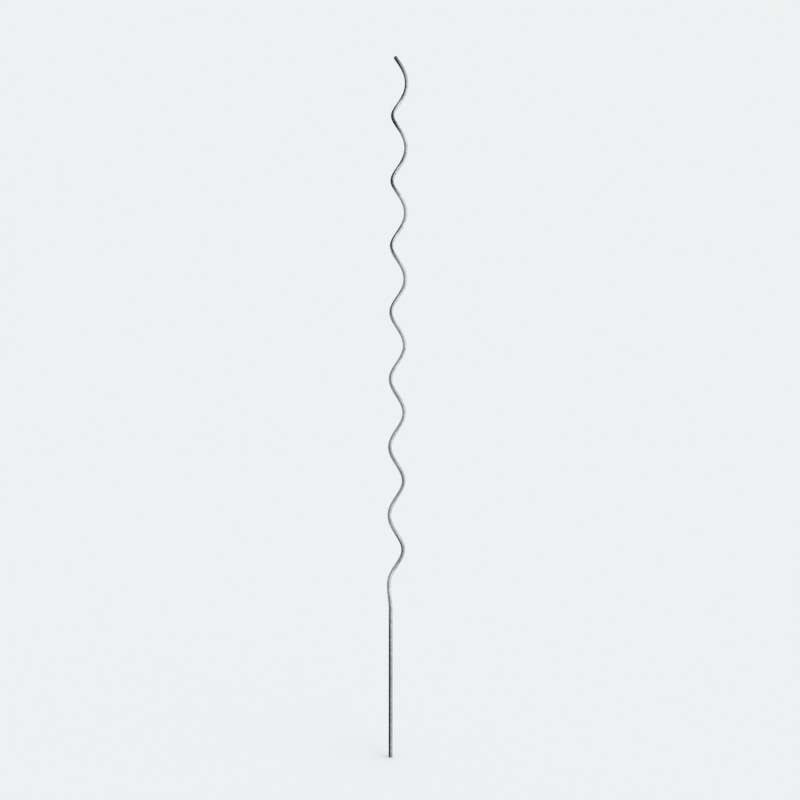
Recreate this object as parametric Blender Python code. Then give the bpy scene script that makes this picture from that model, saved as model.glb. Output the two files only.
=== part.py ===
"""Spiral tomato stake: one galvanised steel rod, wound into an open left-hand coil above a straight leg.

Units are metres, +Z is up. The origin is the centre of the flat at the bottom end of the leg. Seen from the
front, from -Y, the coil stands to the right of the leg and a little behind it.
"""
import math

import bpy

# Overall
HEIGHT = 1.500                        # from the flat of the leg's tip to the highest edge of the top end

# The rod
ROD_DIAMETER = 0.008
TIP_CHAMFER = 0.0020                  # generous, so that the leg parts the soil
TOP_CHAMFER = 0.0006                  # only the burr of the shear taken off

# The leg
LEG_LENGTH = 0.300                    # the straight stretch, from the tip up to the bend
LEG_BEARING = math.radians(135.0)     # where the leg stands round the coil's axis, clockwise from +X

# The coil
COIL_OUTER_DIAMETER = 0.038
COIL_PITCH = 0.1455                   # rise of one turn
RUNOUT_HEIGHT = 0.070                 # rise over which the straight leg eases into the slope of the coil
COIL_LEAN = math.radians(0.45)        # how far the coil's axis leans from the leg's line, towards +X

# How finely the round forms are cut
RINGS_PER_TURN = 24
RINGS_IN_RUNOUT = 14
SIDES = 16                            # an even number

ROD_RADIUS = ROD_DIAMETER / 2
COIL_RADIUS = COIL_OUTER_DIAMETER / 2 - ROD_RADIUS
COIL_RATE = 2 * math.pi / COIL_PITCH                    # radians of turn for each metre of rise
COIL_SLOPE = math.atan(COIL_RADIUS * COIL_RATE)         # angle between the wound rod and the upright
STEEL_DENSITY = 7850.0

# The cut across the top end is square to the rod, so its upper edge stands above the end of the centre line.
CENTRE_LINE_TOP = HEIGHT - (ROD_RADIUS - TOP_CHAMFER) * math.sin(COIL_SLOPE)


def clear_scene():
    """Take out whatever a new file holds."""
    for obj in list(bpy.data.objects):
        bpy.data.objects.remove(obj, do_unlink=True)


def eased_rise(z):
    """Rise that counts as coil at height z: none on the leg, all of it above the run-out, a parabola between."""
    above_leg = z - LEG_LENGTH
    if above_leg <= 0:
        return 0.0
    if above_leg < RUNOUT_HEIGHT:
        return above_leg ** 2 / (2 * RUNOUT_HEIGHT)
    return above_leg - RUNOUT_HEIGHT / 2


def centre_line(z):
    """Point of the rod's centre line at height z.

    The leg, the run-out and the coil all lie on one cylinder, as they do when the rod is wound on a round
    former with its leg clamped along it. The angle grows clockwise seen from above, which winds a left-hand
    coil. The whole coil leans a little from the leg's line.
    """
    rise = eased_rise(z)
    angle = LEG_BEARING + COIL_RATE * rise
    x = COIL_RADIUS * (math.cos(angle) - math.cos(LEG_BEARING)) + math.tan(COIL_LEAN) * rise
    y = COIL_RADIUS * (math.sin(LEG_BEARING) - math.sin(angle))
    return (x, y, z)


def rings_along_rod():
    """Heights of the rings, each with its radius: close together round the bends, and two for each chamfer."""
    coil_foot = LEG_LENGTH + RUNOUT_HEIGHT
    top_land = CENTRE_LINE_TOP - TOP_CHAMFER * math.cos(COIL_SLOPE)
    coil_rings = math.ceil((top_land - coil_foot) / COIL_PITCH * RINGS_PER_TURN)

    rings = [(0.0, ROD_RADIUS - TIP_CHAMFER), (TIP_CHAMFER, ROD_RADIUS)]
    for step in range(RINGS_IN_RUNOUT):
        rings.append((LEG_LENGTH + RUNOUT_HEIGHT * step / RINGS_IN_RUNOUT, ROD_RADIUS))
    for step in range(coil_rings + 1):
        rings.append((coil_foot + (top_land - coil_foot) * step / coil_rings, ROD_RADIUS))
    rings.append((CENTRE_LINE_TOP, ROD_RADIUS - TOP_CHAMFER))
    return rings


def galvanised_steel():
    """Dull grey zinc over steel."""
    material = bpy.data.materials.new("galvanised_steel")
    material.use_nodes = True
    shader = material.node_tree.nodes["Principled BSDF"]
    shader.inputs["Base Color"].default_value = (0.42, 0.44, 0.44, 1.0)
    shader.inputs["Metallic"].default_value = 1.0
    shader.inputs["Roughness"].default_value = 0.42
    return material


def spiral_rod():
    """The whole stake: a round section swept along the centre line, with flat chamfered ends."""
    curve = bpy.data.curves.new("spiral_rod", "CURVE")
    curve.dimensions = "3D"
    curve.twist_mode = "MINIMUM"
    curve.bevel_depth = ROD_RADIUS
    curve.bevel_resolution = (SIDES - 4) // 2
    curve.use_fill_caps = True

    rings = rings_along_rod()
    line = curve.splines.new("POLY")
    line.use_smooth = True
    line.points.add(len(rings) - 1)
    for point, (z, radius) in zip(line.points, rings):
        point.co = (*centre_line(z), 1.0)
        point.radius = radius / ROD_RADIUS

    curve.materials.append(galvanised_steel())
    rod = bpy.data.objects.new("spiral_rod", curve)
    bpy.context.scene.collection.objects.link(rod)
    return rod


def report_sizes():
    """Print what the driving dimensions come to."""
    points = [centre_line(z) for z, radius in rings_along_rod()]
    length = sum(math.dist(a, b) for a, b in zip(points, points[1:]))
    turns = COIL_RATE * eased_rise(CENTRE_LINE_TOP) / (2 * math.pi)
    mass = length * math.pi * ROD_RADIUS ** 2 * STEEL_DENSITY
    clear_rise = COIL_PITCH - ROD_DIAMETER / math.sin(COIL_SLOPE)
    print(f"turns {turns:.2f}, slope of the coil {math.degrees(COIL_SLOPE):.1f} degrees from upright")
    print(f"rod before bending {length * 1000:.0f} mm, mass {mass:.2f} kg")
    print(f"clear width inside the coil {(COIL_OUTER_DIAMETER - 2 * ROD_DIAMETER) * 1000:.1f} mm")
    print(f"clear height between one turn and the next {clear_rise * 1000:.1f} mm")


clear_scene()
spiral_rod()
report_sizes()
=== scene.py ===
# %% [markdown]
# # A spiral tomato stake in hot-dip galvanised steel
# The real stake is one length of 8 mm round steel rod. A machine clamps the first 300 mm, which stays
# straight and becomes the leg, and winds the rest round a former into an open left-hand coil of eight
# turns. The whole thing is then dipped in molten zinc. A tomato plant is led up inside the coil, so
# nothing has to be tied.
#
# The CAD model already holds the size and the collision shape, in metres and with +Z up. This lesson loads
# it, winds a finer rod in exactly the same place, gives it the look of cooled zinc, and lights it in a
# plain studio.

import math

import bmesh
import bpy
from mathutils import Matrix, Vector


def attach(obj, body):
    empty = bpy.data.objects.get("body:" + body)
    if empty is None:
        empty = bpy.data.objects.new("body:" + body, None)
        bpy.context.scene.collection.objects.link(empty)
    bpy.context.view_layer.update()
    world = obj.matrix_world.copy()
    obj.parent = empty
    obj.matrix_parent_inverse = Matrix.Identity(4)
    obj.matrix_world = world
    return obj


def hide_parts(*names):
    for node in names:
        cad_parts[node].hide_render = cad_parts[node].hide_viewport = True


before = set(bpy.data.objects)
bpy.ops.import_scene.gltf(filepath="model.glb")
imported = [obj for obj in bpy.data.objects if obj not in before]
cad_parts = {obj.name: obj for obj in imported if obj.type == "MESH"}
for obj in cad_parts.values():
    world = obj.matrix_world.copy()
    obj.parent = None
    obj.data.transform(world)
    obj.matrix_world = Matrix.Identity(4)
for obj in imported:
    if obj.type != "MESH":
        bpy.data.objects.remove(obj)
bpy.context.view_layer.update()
print("CAD nodes:", sorted(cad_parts))

# %% [markdown]
# ## The sizes that matter
# A bent rod is fully described by a few numbers: its diameter, the length of straight leg, and the coil's
# diameter, pitch and height. They are the CAD model's own numbers. Between the leg and the coil comes a
# short run-out, where the rod eases from upright into the slope of the coil. The former's axis leans
# nearly half a degree from the leg, as it does on the real one.

# %% The rod's sizes, in metres
ROD_DIAMETER = 0.008
HEIGHT = 1.500
LEG_LENGTH = 0.300
RUNOUT_HEIGHT = 0.070
COIL_OUTER_DIAMETER = 0.038
COIL_PITCH = 0.1455
COIL_LEAN = math.radians(0.45)
LEG_BEARING = math.radians(135.0)
TIP_CHAMFER = 0.0020
TOP_CHAMFER = 0.0006

rod_radius = ROD_DIAMETER / 2
coil_radius = COIL_OUTER_DIAMETER / 2 - rod_radius
coil_rate = 2 * math.pi / COIL_PITCH
coil_slope = math.atan(coil_radius * coil_rate)
former_axis = Vector((-coil_radius * math.cos(LEG_BEARING), coil_radius * math.sin(LEG_BEARING), 0))
rod_top = HEIGHT - (rod_radius - TOP_CHAMFER) * math.sin(coil_slope)
coil_foot = LEG_LENGTH + RUNOUT_HEIGHT
lean = math.tan(COIL_LEAN)
print(f"the wound rod slopes {math.degrees(coil_slope):.1f} degrees from upright")

# %% [markdown]
# ## The run-out
# In the run-out the former turns slowly at first and reaches full speed at the top, so the angle wound
# grows with the square of the height, and the lean grows with it. One small function says where the middle
# of the rod is at any height there, and another which way it points. The bearing grows clockwise seen from
# above, which is what makes the coil left-hand.


# %% The middle of the rod in the run-out
SHORT_STEP = 1e-5


def runout_middle(height):
    """Middle of the rod at a height in the run-out."""
    eased = (height - LEG_LENGTH) ** 2 / (2 * RUNOUT_HEIGHT)
    bearing = LEG_BEARING + coil_rate * eased
    round_former = Vector((coil_radius * math.cos(bearing), -coil_radius * math.sin(bearing), height))
    return former_axis + round_former + Vector((lean * eased, 0, 0))


def runout_direction(height):
    """The way the rod points at that height, from two points a short step apart."""
    ahead = runout_middle(height + SHORT_STEP) - runout_middle(max(height - SHORT_STEP, LEG_LENGTH))
    return ahead.normalized()


print("run-out ends at", [round(1000 * v, 2) for v in runout_middle(coil_foot)], "mm")

# %% [markdown]
# ## Drawing the rod
# A rod of one thickness is a ring pulled along a path. A curve with a bevel would do it in one line, but
# it gives no hold on the ends. Pulling the ring with bmesh operators follows the real making step by step:
# extrude the leg straight up, extrude ring by ring with a small turn each time through the run-out, then
# let one spin with a climb wind the whole coil at once. The run-out has made the first quarter turn of the
# eight by then.

# %% The leg: a ring pulled straight up
SIDES = 32
LEG_RINGS = 10

rod_mesh = bmesh.new()
bmesh.ops.create_circle(rod_mesh, cap_ends=False, radius=rod_radius, segments=SIDES)
foot_rim = list(rod_mesh.edges)


def pull_ring(edges):
    """Extrude a ring of edges and return the new ring's edges and vertices."""
    pulled = bmesh.ops.extrude_edge_only(rod_mesh, edges=edges)["geom"]
    verts = [v for v in pulled if isinstance(v, bmesh.types.BMVert)]
    return [e for e in pulled if isinstance(e, bmesh.types.BMEdge) and set(e.verts) <= set(verts)], verts


ring_edges = foot_rim
for _ in range(LEG_RINGS):
    ring_edges, ring_verts = pull_ring(ring_edges)
    bmesh.ops.translate(rod_mesh, vec=(0, 0, LEG_LENGTH / LEG_RINGS), verts=ring_verts)
print("leg:", len(rod_mesh.faces), "faces, up to", round(1000 * ring_verts[0].co.z, 1), "mm")

# %% The run-out: pull, turn and move, ring by ring
RUNOUT_RINGS = 48

middle, heading = Vector((0, 0, LEG_LENGTH)), Vector((0, 0, 1))
for step in range(1, RUNOUT_RINGS + 1):
    height = LEG_LENGTH + RUNOUT_HEIGHT * step / RUNOUT_RINGS
    new_middle, new_heading = runout_middle(height), runout_direction(height)
    ring_edges, ring_verts = pull_ring(ring_edges)
    turn = heading.rotation_difference(new_heading).to_matrix()
    bmesh.ops.rotate(rod_mesh, cent=middle, matrix=turn, verts=ring_verts)
    bmesh.ops.translate(rod_mesh, vec=new_middle - middle, verts=ring_verts)
    middle, heading = new_middle, new_heading
print("run-out: the rod now slopes", round(math.degrees(heading.angle(Vector((0, 0, 1)))), 1), "degrees")

# %% [markdown]
# ## The coil in one spin
# Spin turns a ring about an axis in equal steps and joins each step to the last. Given a dvec it also
# moves the ring along at every step, so a turn becomes a helix. The angle is negative because this coil is
# left-hand: seen from the front, the strands nearer the viewer rise to the left. A spin can't lean, so the
# coil is wound upright and then sheared sideways by the lean.

# %% The coil: a spin that climbs
RINGS_PER_TURN = 96

turns = (rod_top - coil_foot) / COIL_PITCH
steps = round(turns * RINGS_PER_TURN)
below_coil = set(rod_mesh.verts)
spun = bmesh.ops.spin(
    rod_mesh, geom=ring_edges + ring_verts, cent=former_axis + Vector((lean * RUNOUT_HEIGHT / 2, 0, 0)),
    axis=(0, 0, 1), dvec=(0, 0, (rod_top - coil_foot) / steps), angle=-2 * math.pi * turns, steps=steps,
    use_merge=False, use_normal_flip=False, use_duplicate=False,
)["geom_last"]
top_rim = [e for e in spun if isinstance(e, bmesh.types.BMEdge)]
print(f"coil: {turns:.2f} turns in {steps} steps,", len(rod_mesh.faces), "faces so far")

# %% The coil's lean: a shear from the coil's foot up
shear = Matrix.Identity(4)
shear[0][2] = lean
from_foot = Matrix.Translation((0, 0, coil_foot)) @ shear @ Matrix.Translation((0, 0, -coil_foot))
coil_verts = [v for v in rod_mesh.verts if v not in below_coil]
bmesh.ops.transform(rod_mesh, matrix=from_foot, verts=coil_verts)
print("lean at the top:", round(1000 * lean * (rod_top - LEG_LENGTH - RUNOUT_HEIGHT / 2), 1), "mm")

# %% [markdown]
# ## The two ends
# The rod is sheared to length and the burr is taken off. The foot has a generous chamfer, so that it parts
# the soil, and dipping rounds it further. The top end has only a small one. Each end is closed with one
# face, and the rim of that face is bevelled. The cuts get the second material slot, because zinc dries
# duller there. A bevel makes the faces beside it anew, so the cuts are looked up afterwards: they are the
# only faces with as many corners as the rod has sides.

# %% Close and bevel the ends
CUT_SLOT = 1

foot = bmesh.ops.edgeloop_fill(rod_mesh, edges=foot_rim)["faces"]
top = bmesh.ops.edgeloop_fill(rod_mesh, edges=top_rim)["faces"]
bmesh.ops.recalc_face_normals(rod_mesh, faces=rod_mesh.faces)
for cut, chamfer, segments in ((foot, TIP_CHAMFER, 5), (top, TOP_CHAMFER, 3)):
    bmesh.ops.bevel(
        rod_mesh, geom=list(cut[0].edges), offset=chamfer, offset_type="OFFSET", affect="EDGES",
        segments=segments, profile=0.5, material=-1, clamp_overlap=True,
    )
cuts = [face for face in rod_mesh.faces if len(face.verts) == SIDES]
for face in cuts:
    face.material_index = CUT_SLOT
print("cuts:", len(cuts))
print("open edges left:", sum(1 for e in rod_mesh.edges if not e.is_manifold))

# %% [markdown]
# ## From mesh to object
# The rod is smooth all round and crisp at the cut, so every face is shaded smooth and the edges that turn
# by more than 40 degrees are marked sharp. The finished rod stands for the CAD model's only node, which is
# then not shown.

# %% The rod as an object that replaces the CAD node
SHARP_ANGLE = math.radians(40)

rod_data = bpy.data.meshes.new("galvanised_rod")
rod_mesh.to_mesh(rod_data)
rod_mesh.free()
rod_data.shade_smooth()
rod_data.set_sharp_from_angle(angle=SHARP_ANGLE)
rod = bpy.data.objects.new("galvanised_rod", rod_data)
bpy.context.scene.collection.objects.link(rod)

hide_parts("spiral_rod")
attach(rod, "root")
print(rod.name, "has", sum(len(p.vertices) - 2 for p in rod_data.polygons), "triangles")


# %% [markdown]
# ## Colours and nodes
# Colours are written as on a paint card, in sRGB hex, and turned to the linear values that a renderer
# works in. One function adds any node, with its settings and its links, so each finish below reads as a
# short list. Another turns the real size of a feature into a texture's scale.

# %% Three helpers for the finishes
def paint(hex_code):
    """Linear RGBA of an sRGB hex colour."""
    channels = [int(hex_code[i:i + 2], 16) / 255 for i in (1, 3, 5)]
    return (*[c / 12.92 if c <= 0.04045 else ((c + 0.055) / 1.055) ** 2.4 for c in channels], 1.0)


def add_node(tree, kind, inputs=None, **settings):
    """Add a node. inputs holds a value, or another node's output, for each socket name or number."""
    node = tree.nodes.new(kind)
    for name, value in settings.items():
        setattr(node, name, value)
    for socket, value in (inputs or {}).items():
        if isinstance(value, bpy.types.NodeSocket):
            tree.links.new(value, node.inputs[socket])
        else:
            node.inputs[socket].default_value = value
    return node


def per_size(millimetres):
    """Scale of a texture on coordinates in metres, for a feature of that size."""
    return 1000.0 / millimetres


print("half-way grey, #808080, is", round(paint("#808080")[0], 3), "in linear light")

# %% [markdown]
# ## The finish: hot-dip galvanised zinc
# The rod comes out of the bath with a skin of zinc about 0.07 mm thick. As it cools, crystals grow in it,
# each turned its own way and so each a slightly different grey: the spangle, 3 to 5 mm across on wire.
# Zinc that runs off leaves soft streaks along the rod, specks of dross stay in it as pimples, and in the
# open air the skin dulls in patches. To the eye it is a mid-grey metal with a soft sheen, lively close up
# and even from a step away.
#
# Everything reads Object coordinates, which are metres in space, so one turn of the coil looks like no
# other. Spangle is a Voronoi pattern, whose cells each carry a random colour. Noise shakes its coordinates
# a little, so the crystals' borders are ragged.

# %% The spangle: crystals with ragged borders
SPANGLE = 4.0              # millimetres, as all the sizes of this finish are
RAGGED = 2.5
RAGGED_BY = 1.6
NOISE_MIDDLE = (0.5, 0.5, 0.5)

zinc = bpy.data.materials.new("hot_dip_galvanised_zinc")
zinc.use_nodes = True
tree = zinc.node_tree
shader = tree.nodes["Principled BSDF"]
place = add_node(tree, "ShaderNodeTexCoord").outputs["Object"]

wobble = add_node(tree, "ShaderNodeTexNoise", {"Vector": place, "Scale": per_size(RAGGED), "Detail": 2.0})
shaken = add_node(
    tree, "ShaderNodeVectorMath", {0: wobble.outputs["Color"], 1: NOISE_MIDDLE}, operation="SUBTRACT"
)
offset = add_node(
    tree, "ShaderNodeVectorMath", {0: shaken.outputs[0], "Scale": RAGGED_BY / 1000}, operation="SCALE"
)
ragged_place = add_node(
    tree, "ShaderNodeVectorMath", {0: place, 1: offset.outputs[0]}, operation="ADD"
).outputs[0]
crystals = add_node(tree, "ShaderNodeTexVoronoi", {"Vector": ragged_place, "Scale": per_size(SPANGLE)})
crystal = add_node(tree, "ShaderNodeSeparateColor", {"Color": crystals.outputs["Color"]})
borders = add_node(
    tree, "ShaderNodeTexVoronoi", {"Vector": ragged_place, "Scale": per_size(SPANGLE)},
    feature="DISTANCE_TO_EDGE",
)
print("spangle:", SPANGLE, "mm crystals, so", round(math.pi * ROD_DIAMETER * 1000 / SPANGLE), "round the rod")

# %% [markdown]
# Weather and the bath leave patterns of five more sizes. The patches and the runs are longer up the stake
# than across it, so their coordinates are squeezed in Z. The real grain of the zinc is far too fine to
# see, so it is drawn a quarter of a millimetre wide. The specks of dross are the highest peaks of a noise:
# they begin at the first of two levels and are full at the second.

# %% Patches, runs, peel, grain and dross
PATCH = 70.0
PATCH_SQUEEZE = 0.4
RUN_WIDTH = 3.0
RUN_LENGTH = 60.0
PEEL = 0.9
GRAIN = 0.25
DROSS = 1.4
DROSS_LEVELS = (0.76, 0.90)

squeezed = add_node(tree, "ShaderNodeMapping", {"Vector": place, "Scale": (1.0, 1.0, PATCH_SQUEEZE)})
patches = add_node(
    tree, "ShaderNodeTexNoise",
    {"Vector": squeezed.outputs[0], "Scale": per_size(PATCH), "Detail": 4.0, "Roughness": 0.6},
)
drawn = add_node(tree, "ShaderNodeMapping", {"Vector": place, "Scale": (1.0, 1.0, RUN_WIDTH / RUN_LENGTH)})
runs = add_node(
    tree, "ShaderNodeTexNoise", {"Vector": drawn.outputs[0], "Scale": per_size(RUN_WIDTH), "Detail": 3.0}
)
peel = add_node(tree, "ShaderNodeTexNoise", {"Vector": place, "Scale": per_size(PEEL), "Detail": 2.0})
grain = add_node(tree, "ShaderNodeTexNoise", {"Vector": place, "Scale": per_size(GRAIN), "Detail": 2.0})
specks = add_node(tree, "ShaderNodeTexNoise", {"Vector": place, "Scale": per_size(DROSS), "Detail": 0.0})
dross = add_node(
    tree, "ShaderNodeMapRange",
    {"Value": specks.outputs["Fac"], "From Min": DROSS_LEVELS[0], "From Max": DROSS_LEVELS[1]},
    interpolation_type="SMOOTHSTEP",
)
print("patterns from", GRAIN, "to", PATCH, "mm")

# %% [markdown]
# Each crystal has its own grey and its own gloss. Where the skin has weathered, every crystal fades to the
# same dull grey and turns a little rougher. The patches set in between two levels of their noise. The
# grain makes single spots a little rougher or smoother.

# %% Colour and roughness
DARK_CRYSTAL, LIGHT_CRYSTAL, WEATHERED = "#a3a7a8", "#c8cbcb", "#9a9f9f"
WEATHER_LEVELS = (0.42, 0.68)
GLOSSY_CRYSTAL, DULL_CRYSTAL = 0.30, 0.40
WEATHERED_ROUGHER = 0.12
GRAIN_ROUGHER = 0.06

grey = add_node(tree, "ShaderNodeValToRGB", {"Fac": crystal.outputs[0]})
grey.color_ramp.elements[0].color = paint(DARK_CRYSTAL)
grey.color_ramp.elements[1].color = paint(LIGHT_CRYSTAL)
weathered = add_node(
    tree, "ShaderNodeMapRange",
    {"Value": patches.outputs["Fac"], "From Min": WEATHER_LEVELS[0], "From Max": WEATHER_LEVELS[1]},
    interpolation_type="SMOOTHSTEP",
)
colour = add_node(
    tree, "ShaderNodeMix", {0: weathered.outputs[0], 6: grey.outputs["Color"], 7: paint(WEATHERED)},
    data_type="RGBA",
)
tree.links.new(colour.outputs[2], shader.inputs["Base Color"])

gloss = add_node(
    tree, "ShaderNodeMapRange",
    {"Value": crystal.outputs[1], "To Min": GLOSSY_CRYSTAL, "To Max": DULL_CRYSTAL},
)
duller = add_node(
    tree, "ShaderNodeMath", {0: weathered.outputs[0], 1: WEATHERED_ROUGHER, 2: gloss.outputs[0]},
    operation="MULTIPLY_ADD",
)
grainy = add_node(
    tree, "ShaderNodeMapRange",
    {"Value": grain.outputs["Fac"], "To Min": -GRAIN_ROUGHER, "To Max": GRAIN_ROUGHER},
)
roughness = add_node(tree, "ShaderNodeMath", {0: duller.outputs[0], 1: grainy.outputs[0]}, operation="ADD")
tree.links.new(roughness.outputs[0], shader.inputs["Roughness"])
shader.inputs["Metallic"].default_value = 1.0
smoothest = GLOSSY_CRYSTAL - GRAIN_ROUGHER
roughest = DULL_CRYSTAL + WEATHERED_ROUGHER + GRAIN_ROUGHER
print("roughness from", round(smoothest, 2), "to", round(roughest, 2))

# %% [markdown]
# The relief adds up four patterns, each times its height in millimetres. The bump node's distance of one
# millimetre turns their sum into a real height.

# %% Relief
HEIGHTS = (
    (runs.outputs["Fac"], 0.10),
    (peel.outputs["Fac"], 0.012),
    (borders.outputs["Distance"], 0.02),
    (dross.outputs[0], 0.06),
)
ONE_MILLIMETRE = 0.001

relief = 0.0
for pattern, height in HEIGHTS:
    relief = add_node(
        tree, "ShaderNodeMath", {0: pattern, 1: height, 2: relief}, operation="MULTIPLY_ADD"
    ).outputs[0]
bump = add_node(tree, "ShaderNodeBump", {"Strength": 1.0, "Distance": ONE_MILLIMETRE, "Height": relief})
tree.links.new(bump.outputs[0], shader.inputs["Normal"])
print("zinc skin:", len(tree.nodes), "nodes")

# %% [markdown]
# ## The cut ends
# The shear leaves fine, slightly wavy lines across the cut, and the zinc lies thinner and duller on it. At
# scale 1 a wave texture repeats every 2 pi / 20 of a unit, which the scale below takes into account.

# %% The cut end
SHEAR_LINE = 0.5
SHEAR_WAVINESS = 7.0
SHEAR_DEPTH = 0.01
MOTTLE = 1.5
DARK_CUT, LIGHT_CUT = "#7f8384", "#9da1a1"
CUT_ROUGHNESS = 0.5

cut_end = bpy.data.materials.new("zinc_over_sheared_cut")
cut_end.use_nodes = True
tree = cut_end.node_tree
shader = tree.nodes["Principled BSDF"]
place = add_node(tree, "ShaderNodeTexCoord").outputs["Object"]
line_scale = per_size(SHEAR_LINE) * math.pi / 10
lines = add_node(
    tree, "ShaderNodeTexWave",
    {"Vector": place, "Scale": line_scale, "Distortion": SHEAR_WAVINESS, "Detail": 3.0},
)
mottle = add_node(tree, "ShaderNodeTexNoise", {"Vector": place, "Scale": per_size(MOTTLE), "Detail": 3.0})
colour = add_node(
    tree, "ShaderNodeMix", {0: mottle.outputs["Fac"], 6: paint(DARK_CUT), 7: paint(LIGHT_CUT)},
    data_type="RGBA",
)
tree.links.new(colour.outputs[2], shader.inputs["Base Color"])
shader.inputs["Metallic"].default_value = 1.0
shader.inputs["Roughness"].default_value = CUT_ROUGHNESS
bump = add_node(
    tree, "ShaderNodeBump",
    {"Strength": 1.0, "Distance": SHEAR_DEPTH * ONE_MILLIMETRE, "Height": lines.outputs["Fac"]},
)
tree.links.new(bump.outputs[0], shader.inputs["Normal"])

rod_data.materials.append(zinc)
rod_data.materials.append(cut_end)
print("rod slots:", [m.name for m in rod_data.materials])

# %% [markdown]
# ## The studio
# The stake stands on a pale floor that runs on to a pale wall, both so even that no line shows where they
# meet. One wide, weak lamp gives the floor its faint shadow, and even white light from all round makes up
# the rest. The two are balanced so that a matt surface facing up shows exactly its own colour, no lighter
# and no darker. The metal doesn't mirror this lamp: what it mirrors comes further down.

# %% One wide lamp, and the level of the even light
LAMP_ENERGY = 0.90
LAMP_WIDTH = math.radians(60)

lamp_data = bpy.data.lights.new("wide_lamp", "SUN")
lamp_data.energy = LAMP_ENERGY
lamp_data.angle = LAMP_WIDTH
lamp = bpy.data.objects.new("wide_lamp", lamp_data)
bpy.context.scene.collection.objects.link(lamp)
shines_along = Vector((-0.75, 0.45, -0.75)).normalized()
lamp.rotation_euler = shines_along.to_track_quat("-Z", "Y").to_euler()
lamp.visible_glossy = False
even_level = 1.0 - LAMP_ENERGY * -shines_along.z / math.pi
print("even light:", round(even_level, 3), "of white")

# %% [markdown]
# The floor is a disc so large that its edge lies at the horizon. The floor and the black flags further
# down are matt all over, so one function makes both materials. The metal doesn't mirror the floor: it sees
# the same pale colour in the world instead.


# %% The floor
BACKGROUND = "#eff0f1"
FLOOR_RADIUS = 40.0
FLOOR_SIDES = 96


def matt(name, hex_code):
    """A material of one colour without any gloss."""
    material = bpy.data.materials.new(name)
    material.use_nodes = True
    sockets = material.node_tree.nodes["Principled BSDF"].inputs
    sockets["Base Color"].default_value = paint(hex_code)
    sockets["Roughness"].default_value = 1.0
    sockets["Specular IOR Level"].default_value = 0.0
    return material


floor_mesh = bmesh.new()
bmesh.ops.create_circle(
    floor_mesh, cap_ends=True, cap_tris=False, radius=FLOOR_RADIUS, segments=FLOOR_SIDES
)
floor_data = bpy.data.meshes.new("floor")
floor_mesh.to_mesh(floor_data)
floor_mesh.free()
floor_data.materials.append(matt("pale_studio_floor", BACKGROUND))
floor = bpy.data.objects.new("floor", floor_data)
bpy.context.scene.collection.objects.link(floor)
floor.visible_glossy = False
print("floor:", BACKGROUND, "for", FLOOR_RADIUS, "m round")

# %% [markdown]
# The world is that even light. Where the camera sees it, and where metal or glass mirrors it, it shows the
# pale background instead, so the metal stands in the same room as the picture.

# %% The world: even light, and a pale background
world = bpy.data.worlds.new("studio")
bpy.context.scene.world = world
world.use_nodes = True
tree = world.node_tree
ray = add_node(tree, "ShaderNodeLightPath")
seen = ray.outputs["Is Camera Ray"]
for kind in ("Is Glossy Ray", "Is Transmission Ray"):
    seen = add_node(tree, "ShaderNodeMath", {0: seen, 1: ray.outputs[kind]}, operation="MAXIMUM").outputs[0]
even_light = (even_level, even_level, even_level, 1.0)
shown = add_node(tree, "ShaderNodeMix", {0: seen, 6: even_light, 7: paint(BACKGROUND)}, data_type="RGBA")
tree.links.new(shown.outputs[2], tree.nodes["Background"].inputs["Color"])
print("world:", round(even_level, 3), "for scattered light,", BACKGROUND, "where it is seen or mirrored")

# %% [markdown]
# A shiny rod shows the room more than itself, and an even room would leave it one flat grey. A
# photographer draws lines on such metal with soft lamps and with flags, which are frames of black cloth. A
# flag all along the left gives the rod its dark line, and one overhead keeps that line dark where the coil
# leans back. In front of the stake the left flag is lower: the topmost strand looks over it, or else it
# would be black all across. Only mirrored rays see the flags, so they take no light from the floor.

# %% The black flags
FLAG_LEFT = -0.30
FLAG_FOOT = -0.5
FRONT_FLAG_EDGE = -0.10
FRONT_FLAG_TOP = 1.80
FLAG_OVERHEAD = 2.30
FLAG_THICKNESS = 0.01
SOFTBOX_RIGHT = 0.32
REACH = 4.0
OVERHEAD_REACH = 1.0

velvet = matt("black_velvet", "#0b0b0b")


def hang_flag(name, low, high):
    """A thin black flag that fills the box from low to high."""
    low, high = Vector(low), Vector(high)
    flag_mesh = bmesh.new()
    bmesh.ops.create_cube(flag_mesh, size=1.0)
    bmesh.ops.scale(flag_mesh, vec=high - low, verts=flag_mesh.verts)
    bmesh.ops.translate(flag_mesh, vec=(low + high) / 2, verts=flag_mesh.verts)
    flag_data = bpy.data.meshes.new(name)
    flag_mesh.to_mesh(flag_data)
    flag_mesh.free()
    flag_data.materials.append(velvet)
    flag = bpy.data.objects.new(name, flag_data)
    bpy.context.scene.collection.objects.link(flag)
    flag.visible_camera = flag.visible_diffuse = flag.visible_transmission = flag.visible_shadow = False


behind_flag = FLAG_LEFT - FLAG_THICKNESS
above_flag = FLAG_OVERHEAD + FLAG_THICKNESS
hang_flag("left_flag", (behind_flag, FRONT_FLAG_EDGE, FLAG_FOOT), (FLAG_LEFT, REACH, REACH))
hang_flag("left_front_flag", (behind_flag, -REACH, FLAG_FOOT), (FLAG_LEFT, FRONT_FLAG_EDGE, FRONT_FLAG_TOP))
hang_flag(
    "top_flag", (FLAG_LEFT, -OVERHEAD_REACH, FLAG_OVERHEAD), (SOFTBOX_RIGHT, OVERHEAD_REACH, above_flag)
)
print("flags:", -FLAG_LEFT, "m to the left and", FLAG_OVERHEAD, "m up")

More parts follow.
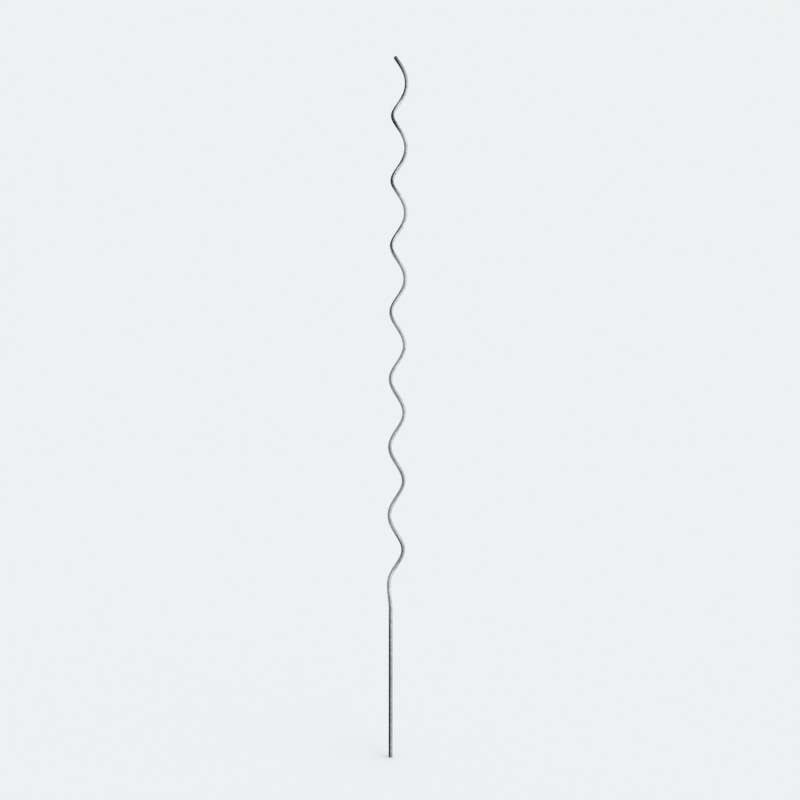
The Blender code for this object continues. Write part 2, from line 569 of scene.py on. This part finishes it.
# %% [markdown]
# The pale line down the right comes from a large softbox. The dark line on the left fades halfway up the
# stake and comes back at both ends, so a smaller panel lies on its side in front of the flag. A lamp's
# watts over pi times its area are the level at which it glows. In Cycles a lamp doesn't hide what is
# behind it. So the softbox adds its glow to the pale background and looks brighter than white, while the
# panel adds its own to the black flag and stays darker than the background. Both light nothing but the
# metal.


# %% The soft lamps that the metal mirrors
PANEL_BEFORE_FLAG = 0.05


def soft_lamp(name, x, length, bottom, top, glow):
    """An upright lamp at x that faces the stake, with its length from front to back."""
    lamp_data = bpy.data.lights.new(name, "AREA")
    lamp_data.shape = "RECTANGLE"
    lamp_data.size, lamp_data.size_y = length, top - bottom
    lamp_data.energy = math.pi * length * (top - bottom) * glow
    lamp = bpy.data.objects.new(name, lamp_data)
    bpy.context.scene.collection.objects.link(lamp)
    lamp.location = (x, 0, (bottom + top) / 2)
    lamp.rotation_euler = (math.radians(90), 0, math.copysign(math.radians(90), x))
    lamp.visible_camera = lamp.visible_diffuse = False
    print(name, "glows at", glow, "from", bottom, "to", top, "m up")


soft_lamp("right_softbox", x=SOFTBOX_RIGHT, length=2 * REACH, bottom=0.22, top=REACH, glow=0.50)
soft_lamp("left_panel", x=FLAG_LEFT + PANEL_BEFORE_FLAG, length=2.0, bottom=0.25, top=1.25, glow=0.59)

# %% [markdown]
# ## The camera
# The camera stands 1.7 m away and 0.64 m up, level from side to side and tilted up a little. The tilt and
# the short distance are why the turns of the coil look wider apart lower down. The focal length was found
# in pixels, for a picture 800 pixels wide.

# %% The camera
SENSOR = 36.0
FOCAL_PIXELS, PICTURE_PIXELS = 796.7, 800
CAMERA_PLACE = (0.0195, -1.700, 0.636)
CAMERA_TILT = 3.63

camera_data = bpy.data.cameras.new("camera")
camera_data.sensor_width = SENSOR
camera_data.lens = FOCAL_PIXELS / PICTURE_PIXELS * SENSOR
camera = bpy.data.objects.new("camera", camera_data)
camera.location = CAMERA_PLACE
camera.rotation_euler = (math.radians(90 + CAMERA_TILT), 0, 0)
bpy.context.scene.collection.objects.link(camera)
bpy.context.scene.camera = camera

bpy.context.scene.view_settings.view_transform = "Standard"
print("camera:", round(camera_data.lens, 2), "mm lens, tilted up", CAMERA_TILT, "degrees")
